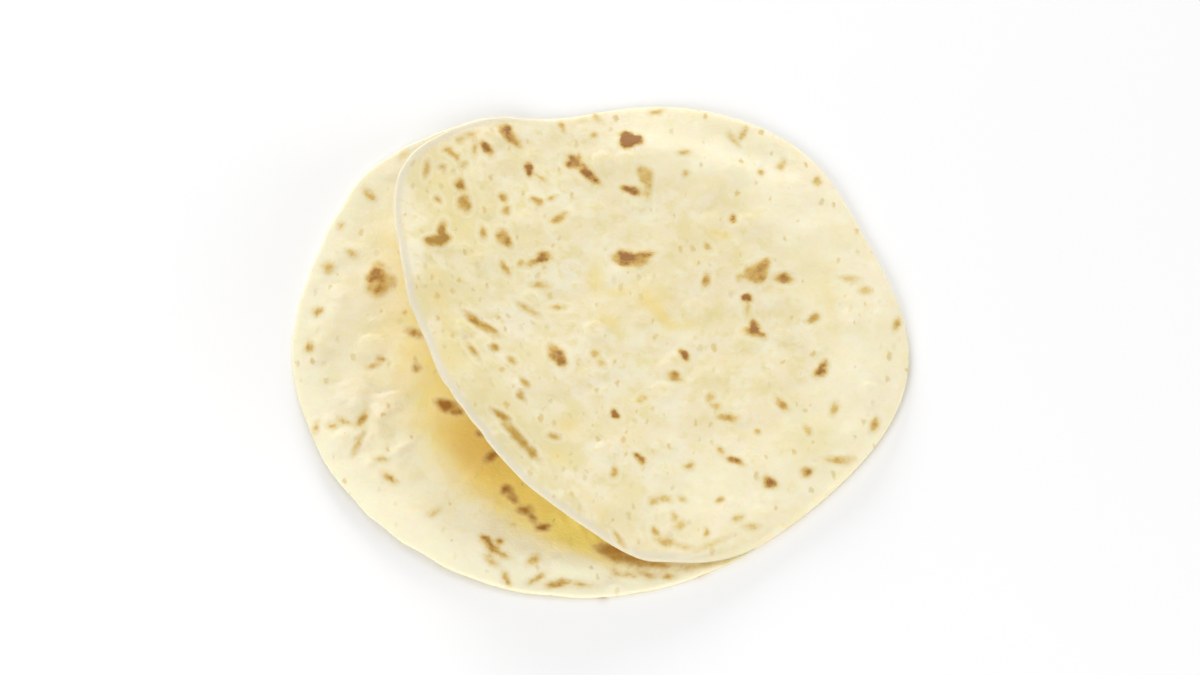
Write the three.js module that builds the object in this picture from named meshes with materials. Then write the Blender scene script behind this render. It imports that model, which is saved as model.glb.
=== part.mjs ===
// A soft flour tortilla, folded over once and lying flat on its lower layer.
// Millimetres, +Z up. The origin is on the ground, under the middle of the tortilla's box.
import * as THREE from "three";
import { ParametricGeometry } from "three/addons/geometries/ParametricGeometry.js";
import { mergeGeometries, mergeVertices } from "three/addons/utils/BufferGeometryUtils.js";

// Driving dimensions. Angles are in degrees, anticlockwise from +X about the lower layer's centre.
const radius = 100; // of the lower layer, over most of its rim
const sheet = 2; // thickness of one layer
const boxMiddle = [6.5, -2.5]; // of the whole, measured from the lower layer's centre

// The rim stands out of its circle in a few places: where, by how much and over what spread.
const notchAngle = 95; // where the fold ends at the back, and both layers' edges meet
const cornerAngle = 306.5; // where the fold ends at the front right
const swells = [
  { at: -5, out: 13, spread: 27 },
  { at: 45, out: 8, spread: 20 },
  { at: notchAngle, out: -9.5, spread: 17 },
  { at: 137, out: 1.5, spread: 9 },
  { at: 163, out: -1.7, spread: 12 },
];

// The flap is the upper layer's open side. Its edge lies inside the lower layer's rim.
const flapPull = 45.8; // by how much, at most
const flapSkew = 1.06; // above 1 moves that place towards the front
const flapFullness = 1.55; // above 1 narrows it
const flapTip = { at: 130, out: 3.4, spread: 15 }; // its blunt corner at the back left
const flapEnding = 8; // above 1: how soon that corner's curve is gone at the edge's two ends

// It rises from a straight line between the fold's two ends.
const curlReach = 83; // from that line to its edge's farthest point
const curlHeight = 25; // what the curl adds there
const curlPower = 2.3; // 1 is a straight slope, 2 is an arc
const curlWave = { high: 0.05, length: 58 }; // slow waves along the curl, as a share of it
const wedgeSlope = 0.06; // how its underside leaves the lower layer, before it curls
const wedgeEasing = 14; // over this width its upper face bends into that slope

// The fold runs round the right side.
const foldNose = 2.1; // height of its outermost line
const foldRound = 3; // width of its rounded nose
const foldFading = 14; // above 1: how soon it turns into two open edges past its ends
const puff = { high: 2.2, inside: 20, fade: 45, left: 0.35 }; // the upper layer stands off the lower one here
const puffEasing = 30; // over this width it begins, beside the flap's line
const crease = { at: 55, spread: 22, inside: 13, wide: 5, high: -0.9 };
const ridge = { at: 62, spread: 20, inside: 22, wide: 6, high: 0.9 };

// Slow hollows all over the sheet are crossed waves: direction in degrees, length, height and start.
const waves = [
  { turn: 20, length: 66, high: 0.45, start: 0.6 },
  { turn: 128, length: 47, high: 0.35, start: 2.1 },
  { turn: 76, length: 88, high: 0.4, start: 4.0 },
];
const waveEasing = 30; // they fade out over this width beside the flap's line
const lowerWaves = { from: 42, share: 0.55, rim: 12 }; // on the lower layer they begin this far off

// The lower layer's rim stands a little off the ground in front of the flap.
const rise = { at: 228, spread: 45, high: 2.2, start: 0.76 };

const openSlices = 46; // steps round the open side
const foldSlices = 34; // steps round the folded side
const innerRings = 9; // rings from the hub to the rounded edge
const groundRings = 4; // the same on the underside
const edgeRings = 5; // rings of the rounded edge
const sewing = 1e-4; // points closer than this are one

const mix = THREE.MathUtils.lerp;

function smooth(t) {
  const c = THREE.MathUtils.clamp(t, 0, 1);
  return c * c * (3 - 2 * c);
}

function bell(t) {
  return Math.exp(-t * t);
}

// A bell round an angle, in degrees.
function hump(angle, { at, spread }) {
  const away = ((angle - at + 540) % 360) - 180;
  return bell(away / spread);
}

function place(distance, angle) {
  const turn = THREE.MathUtils.degToRad(angle);
  return new THREE.Vector2(distance * Math.cos(turn), distance * Math.sin(turn));
}

function rimRadius(angle) {
  return swells.reduce((sum, swell) => sum + swell.out * hump(angle, swell), radius);
}

// How far round the open side an angle is: 0 at the notch, 1 at the front corner.
function openShare(angle) {
  return THREE.MathUtils.clamp((angle - notchAngle) / (cornerAngle - notchAngle), 0, 1);
}

// The flap's edge is the rim pulled in by a skewed arch of sine, with a blunt corner added.
function flapRadius(angle) {
  const share = openShare(angle);
  const arch = Math.max(Math.sin(Math.PI * share ** flapSkew), 0) ** flapFullness;
  const ends = smooth(share * flapEnding) * smooth((1 - share) * flapEnding);
  return rimRadius(angle) - flapPull * arch + flapTip.out * hump(angle, flapTip) * ends;
}

const notch = place(rimRadius(notchAngle), notchAngle);
const corner = place(rimRadius(cornerAngle), cornerAngle);
const along = corner.clone().sub(notch).normalize(); // direction of the flap's line
const hub = notch.clone().lerp(corner, 0.5); // every face is a fan of rays from here

// Distance from the flap's line, positive on the open side.
function openDistance(p) {
  const fromNotch = p.clone().sub(notch);
  return fromNotch.x * along.y - fromNotch.y * along.x;
}

function hollows(p) {
  const sum = waves.reduce((total, wave) => {
    const turns = p.dot(place(1, wave.turn)) / wave.length;
    return total + wave.high * Math.sin(turns * 2 * Math.PI + wave.start);
  }, 0);
  return sum * smooth(Math.abs(openDistance(p)) / waveEasing);
}

// The curl is a power of the distance, with slow waves along it.
function curl(p) {
  const share = Math.max(openDistance(p) / curlReach, 0);
  const wave = Math.sin((p.dot(along) * 2 * Math.PI) / curlWave.length);
  return curlHeight * share ** curlPower * (1 + curlWave.high * wave);
}

// The flap's underside above the lower layer: a thin wedge that turns into the curl.
function liftBelow(p) {
  return wedgeSlope * Math.max(openDistance(p), 0) + curl(p) + hollows(p);
}

// Its upper face does the same, but bends into the wedge gradually.
function liftAbove(p) {
  const distance = openDistance(p);
  const eased = (distance + Math.hypot(distance, wedgeEasing)) / 2;
  return wedgeSlope * eased + curl(p) + hollows(p);
}

// A sloping sheet cut by a vertical line is thicker by the length of its slope.
function slantedSheet(p) {
  const share = Math.max(openDistance(p) / curlReach, 0);
  const slope = (curlHeight / curlReach) * curlPower * share ** (curlPower - 1);
  return sheet * Math.hypot(1, slope);
}

// How much of a fold the edge is: 1 on the folded side, falling to 0 just past its two ends.
function foldShare(angle) {
  if (angle < notchAngle || angle > cornerAngle) return 1;
  const share = openShare(angle);
  return 1 - smooth(Math.min(share, 1 - share) * foldFading);
}

// What one ray needs: the rim point that it runs to, and the width of the rounded edge there.
function rayTo(angle, radiusAt) {
  const end = place(radiusAt(angle), angle);
  const fold = foldShare(angle);
  return { angle, fold, end, length: end.distanceTo(hub), round: mix(sheet / 2, foldRound, fold) };
}

// A point of a ray, some steps from the hub: even rings first, then the closer rings of the edge.
function pointOf(ray, step, rings) {
  const flat = ray.length - ray.round;
  const past = (step - rings) / edgeRings;
  const inEdge = ray.round * (1 - Math.sin((past * Math.PI) / 2));
  const inside = step > rings ? inEdge : ray.length - (flat * step) / rings;
  const turn = Math.min(inside / ray.round, 1);
  return {
    ray,
    inside, // distance from the rim
    p: hub.clone().lerp(ray.end, 1 - inside / ray.length),
    roundness: Math.sqrt(1 - (1 - turn) ** 2), // 1 on the flat, 0 on the outermost line
  };
}

function groundRise({ ray, inside }) {
  const ends = Math.sin(Math.PI * openShare(ray.angle)) * (1 - ray.fold);
  const outwards = smooth((1 - inside / ray.length - rise.start) / (1 - rise.start));
  return rise.high * hump(ray.angle, rise) * ends * outwards;
}

// A low form that runs beside the fold, at its own distance inside the rim.
function besideFold(form, { ray, inside }) {
  return form.high * hump(ray.angle, form) * bell((inside - form.inside) / form.wide);
}

// Beside the fold the upper layer is puffed up, with a shallow crease and a soft ridge along it.
function foldPuff(at) {
  const side = smooth(-openDistance(at.p) / puffEasing);
  const outer = smooth(at.inside / puff.inside);
  const inner = mix(1, puff.left, smooth((at.inside - puff.inside) / puff.fade));
  return side * (puff.high * outer * inner + besideFold(crease, at) + besideFold(ridge, at));
}

// Outermost height of each layer's edge. On the folded side it is one line for both.
function lowerNose(at) {
  return mix(sheet / 2, foldNose, at.ray.fold) + groundRise(at);
}

function upperNose(at) {
  return mix(sheet + liftBelow(at.p) + slantedSheet(at.p) / 2, foldNose, at.ray.fold);
}

// The four faces. Each runs from its flat height to its edge's outermost line.
function ground(at) {
  return mix(lowerNose(at), groundRise(at), at.roundness);
}

function lowerTop(at) {
  const begun = smooth((openDistance(at.p) - lowerWaves.from) / waveEasing);
  const shown = lowerWaves.share * begun * smooth(at.inside / lowerWaves.rim);
  const height = sheet + groundRise(at) - hollows(at.p) * shown;
  return mix(lowerNose(at), height, at.roundness);
}

function flapUnderside(at) {
  return mix(upperNose(at), sheet + liftBelow(at.p), at.roundness);
}

function top(at) {
  const height = sheet + liftAbove(at.p) + slantedSheet(at.p) + foldPuff(at);
  return mix(upperNose(at), height, at.roundness);
}

// One face between two angles. A face that looks up is run through the other way round.
function face(fromAngle, toAngle, slices, rings, radiusAt, heightAt, looksUp) {
  const steps = rings + edgeRings;
  const point = (u, v, target) => {
    const ray = rayTo(mix(fromAngle, toAngle, looksUp ? u : 1 - u), radiusAt);
    const at = pointOf(ray, (1 - v) * steps, rings);
    target.set(at.p.x - boxMiddle[0], at.p.y - boxMiddle[1], heightAt(at));
  };
  return new ParametricGeometry(point, slices, steps);
}

// Both sides of the tortilla share the notch and the front corner.
function openFace(rings, radiusAt, heightAt, looksUp) {
  return face(notchAngle, cornerAngle, openSlices, rings, radiusAt, heightAt, looksUp);
}

function foldedFace(rings, heightAt, looksUp) {
  return face(cornerAngle - 360, notchAngle, foldSlices, rings, rimRadius, heightAt, looksUp);
}

// The faces are sewn along their shared lines, and triangles that have shrunk to a line are dropped.
function sew(faces) {
  const loose = mergeGeometries(faces);
  loose.deleteAttribute("normal");
  loose.deleteAttribute("uv");
  const sewn = mergeVertices(loose, sewing);
  const corners = Array.from(sewn.index.array);
  const kept = [];
  for (let i = 0; i < corners.length; i += 3) {
    const [a, b, c] = corners.slice(i, i + 3);
    if (a !== b && b !== c && c !== a) kept.push(a, b, c);
  }
  sewn.setIndex(kept);
  sewn.computeVertexNormals();
  return sewn;
}

function tortilla() {
  const geometry = sew([
    openFace(innerRings, flapRadius, top, true),
    foldedFace(innerRings, top, true),
    openFace(groundRings, rimRadius, ground, false),
    foldedFace(groundRings, ground, false),
    openFace(innerRings, rimRadius, lowerTop, true),
    openFace(innerRings, flapRadius, flapUnderside, false),
  ]);
  const dough = new THREE.MeshStandardMaterial({ color: 0xf1e6c2, roughness: 0.85, metalness: 0 });
  const mesh = new THREE.Mesh(geometry, dough);
  mesh.name = "tortilla";
  return mesh;
}

const model = new THREE.Group();
model.add(tortilla());

export default model;
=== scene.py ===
import math

import bpy
import numpy as np
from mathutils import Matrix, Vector


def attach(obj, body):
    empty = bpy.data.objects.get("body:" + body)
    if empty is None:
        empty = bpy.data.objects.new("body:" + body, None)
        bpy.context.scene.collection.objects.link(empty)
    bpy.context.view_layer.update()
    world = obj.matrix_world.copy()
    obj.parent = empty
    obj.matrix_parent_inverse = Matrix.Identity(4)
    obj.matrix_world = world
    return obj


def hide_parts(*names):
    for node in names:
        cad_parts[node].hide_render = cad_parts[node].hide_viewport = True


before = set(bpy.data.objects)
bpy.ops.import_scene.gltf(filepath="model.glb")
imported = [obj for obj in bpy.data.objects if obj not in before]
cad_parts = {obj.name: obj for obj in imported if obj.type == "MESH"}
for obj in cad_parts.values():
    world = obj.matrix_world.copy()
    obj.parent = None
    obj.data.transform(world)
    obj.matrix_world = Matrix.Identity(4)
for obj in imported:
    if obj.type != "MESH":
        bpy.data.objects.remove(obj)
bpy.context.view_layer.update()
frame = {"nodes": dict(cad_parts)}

print("frame loaded with", ", ".join(frame["nodes"]))

# A soft flour tortilla, folded over, with its upper layer's free edge lifted.
# Shapes are worked out in millimetres and degrees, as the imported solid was, and go into the mesh in metres.
# Angles run anticlockwise from +X about the lower layer's centre.
mm = 0.001

outline = {
    "radius": 100,  # of the lower layer, over most of its rim
    "sheet": 2,  # thickness of one layer
    "boxMiddle": np.array([6.5, -2.5]),  # of the whole, measured from the lower layer's centre
    "notchAngle": 95,  # the fold's end at the back
    "cornerAngle": 306.5,  # the fold's end at the front right
    "swells": [  # at this angle, this far out, over this spread
        (-5, 13, 27), (45, 8, 20), (95, -9.5, 17), (137, 1.5, 9), (163, -1.7, 12), (109, 1.5, 7),
    ],
    "inset": 0.1,  # keeps the unevenness inside the solid's outline
    "ragged": 0.26,  # how uneven the cut edges are
    "raggedFirst": 5,  # fewest waves of it all round
    "raggedCount": 46,
    "raggedLeast": 0.3,  # lowest draw of a wave's height
    "raggedEnding": 3,
    "raggedSeed": 5,
}

flap = {
    "pull": 45.8,  # its edge lies this far inside the rim, at most
    "skew": 1.06,  # above 1 the deepest place moves towards the front
    "fullness": 1.55,  # above 1 the arch of the pull is narrower
    "swells": [  # at this angle, this far out, over this spread
        (130, 2.8, 15), (214, 2.2, 17), (245, -2.5, 14), (267, -3.5, 12), (284, 1.4, 5),
    ],
    "swellEnding": 8,  # they fade out over one part in 8 of the open side, at each end
    "curlReach": 83,  # the curl would be this high at this distance from the flap's line
    "curlHeight": 24,
    "curlPower": 2.3,
    "levelFrom": 76,  # from here outwards the curl levels off
    "levelling": 0.06,
    "curlWave": (0.05, 58),  # share of the curl, length
    "wedgeSlope": 0.06,  # the flap's rise for each millimetre, before it curls
    "wedgeEasing": 14,
}

fold = {
    "nose": 2.1,  # height of its outermost line
    "round": 3,  # width of its rounded nose
    "fading": 14,  # it dies away over one part in 14 of the open side, at each end
    "puff": {"high": 2.2, "inside": 20, "fade": 45, "left": 0.35, "easing": 30},  # left: share in the middle
    "creases": [(55, 22, 13, 5, -0.9), (62, 20, 22, 6, 0.9)],  # at, spread, inside, wide, high
}

sway = {
    "waves": [(20, 66, 0.45, 0.6), (128, 47, 0.35, 2.1), (76, 88, 0.4, 4.0)],  # turn, length, high, start
    "easing": 30,
    "lowerFrom": 42,  # from here outwards the lower layer has its share of the waves
    "lowerShare": 0.55,
    "lowerRim": 12,
    "rise": {"at": 228, "spread": 45, "high": 2.2, "start": 0.76},
}

mesh = {
    "rings": 100,  # square rings of the top, which end in 8 times as many points
    "innerRings": 42,  # of the two faces inside the pocket
    "groundRings": 8,
    "edgeRings": 4,
    "sewing": 1e-5,  # points that agree to this many millimetres are one
}


# 3t^2 - 2t^3, with t held between 0 and 1.
def smooth(t):
    c = np.clip(t, 0, 1)
    return c * c * (3 - 2 * c)


# e to the power of -t^2.
def bell(t):
    return np.exp(-t * t)


# a at a share of 0, b at a share of 1 and a straight line between them.
def mix(a, b, share):
    return a + (b - a) * share


# A bell round an angle, the shorter way round.
def hump(angle, at, spread):
    return bell(((angle - at + 540) % 360 - 180) / spread)


# The point at a distance and an angle from the lower layer's centre.
def place(distance, angle):
    turn = np.radians(angle)
    return np.stack([distance * np.cos(turn), distance * np.sin(turn)], axis=-1)


# How far round the open side an angle is: 0 at the notch, 1 at the front corner.
def openShare(angle):
    return np.clip((angle - outline["notchAngle"]) / (outline["cornerAngle"] - outline["notchAngle"]), 0, 1)


# How far a cut edge lies inside its smooth line: a sum of sines of the angle with starts drawn at random,
# each as high as its waves are long. It dies away at the fold's two ends.
def raggedEdge(angle, seed):
    draw = np.random.default_rng(outline["raggedSeed"] + seed)
    waves = outline["raggedFirst"] + np.arange(outline["raggedCount"])
    starts = draw.uniform(0, 2 * math.pi, len(waves))
    highs = draw.uniform(outline["raggedLeast"], 1, len(waves)) * outline["raggedFirst"] / waves
    total = (highs * np.sin(np.radians(angle)[..., None] * waves + starts)).sum(-1)
    ending = smooth(np.sin(math.pi * openShare(angle)) * outline["raggedEnding"])
    return outline["ragged"] * np.maximum(1 - total, 0) * ending


# The rim's distance from the centre before it is uneven: the radius and a bell for each swell.
def smoothRim(angle):
    swelling = sum(out * hump(angle, at, spread) for at, out, spread in outline["swells"])
    return outline["radius"] - outline["inset"] + swelling


# The smooth rim less its unevenness.
def rimRadius(angle):
    return smoothRim(angle) - raggedEdge(angle, 0)


# The flap's edge is the rim pulled in by a skewed arch of sine, with a bell for each swell.
def flapRadius(angle):
    share = openShare(angle)
    arch = np.maximum(np.sin(math.pi * share ** flap["skew"]), 0) ** flap["fullness"]
    ends = smooth(share * flap["swellEnding"]) * smooth((1 - share) * flap["swellEnding"])
    swelling = sum(out * hump(angle, at, spread) for at, out, spread in flap["swells"]) * ends
    return smoothRim(angle) - flap["pull"] * arch + swelling - raggedEdge(angle, 1)


# The upper layer ends at the flap's edge on the open side and at the rim on the folded side.
def topRadius(angle):
    return np.where(angle <= outline["cornerAngle"], flapRadius(angle), rimRadius(angle))


notch = place(smoothRim(outline["notchAngle"]), outline["notchAngle"])
corner = place(smoothRim(outline["cornerAngle"]), outline["cornerAngle"])
along = (corner - notch) / np.linalg.norm(corner - notch)  # direction of the flap's line
hub = (notch + corner) / 2  # every face is made of rays from here


# Distance from the flap's line, positive on the open side.
def openDistance(p):
    away = p - notch
    return away[..., 0] * along[1] - away[..., 1] * along[0]


# A sum of crossed waves, faded out beside the flap's line.
def hollows(p):
    total = sum(
        high * np.sin(p @ place(1, turn) / length * 2 * math.pi + start)
        for turn, length, high, start in sway["waves"]
    )
    return total * smooth(abs(openDistance(p)) / sway["easing"])


# A power of the distance from the flap's line, with slow waves along it. To level it off, the distance is
# shortened far out by the square of what is past a set one.
def curl(p):
    distance = openDistance(p)
    levelled = distance - flap["levelling"] * np.maximum(distance - flap["levelFrom"], 0) ** 2
    share = np.maximum(levelled / flap["curlReach"], 0)
    high, length = flap["curlWave"]
    wave = np.sin(p @ along * 2 * math.pi / length)
    return flap["curlHeight"] * share ** flap["curlPower"] * (1 + high * wave)


# The flap's underside above the lower layer: a straight wedge, the curl and the hollows.
def liftBelow(p):
    return flap["wedgeSlope"] * np.maximum(openDistance(p), 0) + curl(p) + hollows(p)


# The same for its upper face, where the wedge starts as a hyperbola and not at a kink.
def liftAbove(p):
    distance = openDistance(p)
    eased = (distance + np.hypot(distance, flap["wedgeEasing"])) / 2
    return flap["wedgeSlope"] * eased + curl(p) + hollows(p)


# Upright thickness of a sloping sheet: its thickness times the length of its slope.
def slantedSheet(p):
    share = np.maximum(openDistance(p) / flap["curlReach"], 0)
    slope = flap["curlHeight"] / flap["curlReach"] * flap["curlPower"] * share ** (flap["curlPower"] - 1)
    return outline["sheet"] * np.hypot(1, slope)


# 1 on the folded side, falling to 0 just past the fold's two ends.
def foldShare(angle):
    share = openShare(angle)
    opening = smooth(np.minimum(share, 1 - share) * fold["fading"])
    return 1 - np.where(angle <= outline["cornerAngle"], opening, 0)


# Points on rays from the hub. A share of 0 is the hub, 1 where the rounded edge starts and 2 its
# outermost line.
def onRays(angle, share, radiusAt):
    end = place(radiusAt(angle), angle)
    folded = foldShare(angle)
    length = np.linalg.norm(end - hub, axis=-1)
    edge = mix(outline["sheet"] / 2, fold["round"], folded)
    inEdge = edge * (1 - np.sin((share - 1) * math.pi / 2))
    inside = np.where(share > 1, inEdge, length - (length - edge) * share)
    turn = np.minimum(inside / edge, 1)
    return {
        "angle": angle,
        "fold": folded,
        "length": length,
        "inside": inside,  # distance from the outermost line
        "p": hub + (end - hub) * (1 - inside / length)[..., None],
        "roundness": np.sqrt(np.maximum(1 - (1 - turn) ** 2, 0)),  # 1 on the flat, 0 on the outermost line
    }


# The lower layer's lift off the ground: a bell round one angle, by a smooth step over its outermost part.
def groundRise(at):
    rise = sway["rise"]
    ends = np.sin(math.pi * openShare(at["angle"])) * (1 - at["fold"])
    outwards = smooth((1 - at["inside"] / at["length"] - rise["start"]) / (1 - rise["start"]))
    return rise["high"] * hump(at["angle"], rise["at"], rise["spread"]) * ends * outwards


# Beside the fold the upper layer is puffed up, with a shallow crease and a soft ridge along it.
def foldPuff(at):
    puff = fold["puff"]
    side = smooth(-openDistance(at["p"]) / puff["easing"])
    outer = smooth(at["inside"] / puff["inside"])
    inner = mix(1, puff["left"], smooth((at["inside"] - puff["inside"]) / puff["fade"]))
    forms = sum(
        high * hump(at["angle"], angle, spread) * bell((at["inside"] - inside) / wide)
        for angle, spread, inside, wide, high in fold["creases"]
    )
    return side * (puff["high"] * outer * inner + forms)


# Outermost heights of the two layers' edges. On the folded side they are one line.
def lowerNose(at):
    return mix(outline["sheet"] / 2, fold["nose"], at["fold"]) + groundRise(at)


# Half way up the flap's sheet, or the fold's own height.
def upperNose(at):
    middle = outline["sheet"] + liftBelow(at["p"]) + slantedSheet(at["p"]) / 2
    return mix(middle, fold["nose"], at["fold"])


# The four faces' heights, each from its flat part to its edge's outermost line.
def groundHeight(at):
    return mix(lowerNose(at), groundRise(at), at["roundness"])


# The sheet on its ground, less a share of the hollows.
def lowerHeight(at):
    begun = smooth((openDistance(at["p"]) - sway["lowerFrom"]) / sway["easing"])
    shown = sway["lowerShare"] * begun * smooth(at["inside"] / sway["lowerRim"])
    height = outline["sheet"] + groundRise(at) - hollows(at["p"]) * shown
    return mix(lowerNose(at), height, at["roundness"])


# One sheet and the lift above it.
def undersideHeight(at):
    return mix(upperNose(at), outline["sheet"] + liftBelow(at["p"]), at["roundness"])


# The same and one more sheet, measured upright, with the puff beside the fold.
def topHeight(at):
    height = outline["sheet"] + liftAbove(at["p"]) + slantedSheet(at["p"]) + foldPuff(at)
    return mix(upperNose(at), height, at["roundness"])


print("form ready")

# Where the photograph shows a point, in its pixels: the whole is seen from the front, well above.
photo = {
    "middle": np.array([600, 354.2]),  # pixel of the origin
    "pixelsPerMm": 2.905,
    "elevation": 60,
}


# x goes right, and down goes what y and z lose of their height in the picture.
def seen(x, y, z):
    tilt = math.radians(photo["elevation"])
    up = y * math.sin(tilt) + z * math.cos(tilt)
    return photo["middle"] + photo["pixelsPerMm"] * np.stack([x, -up], axis=-1)


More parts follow.
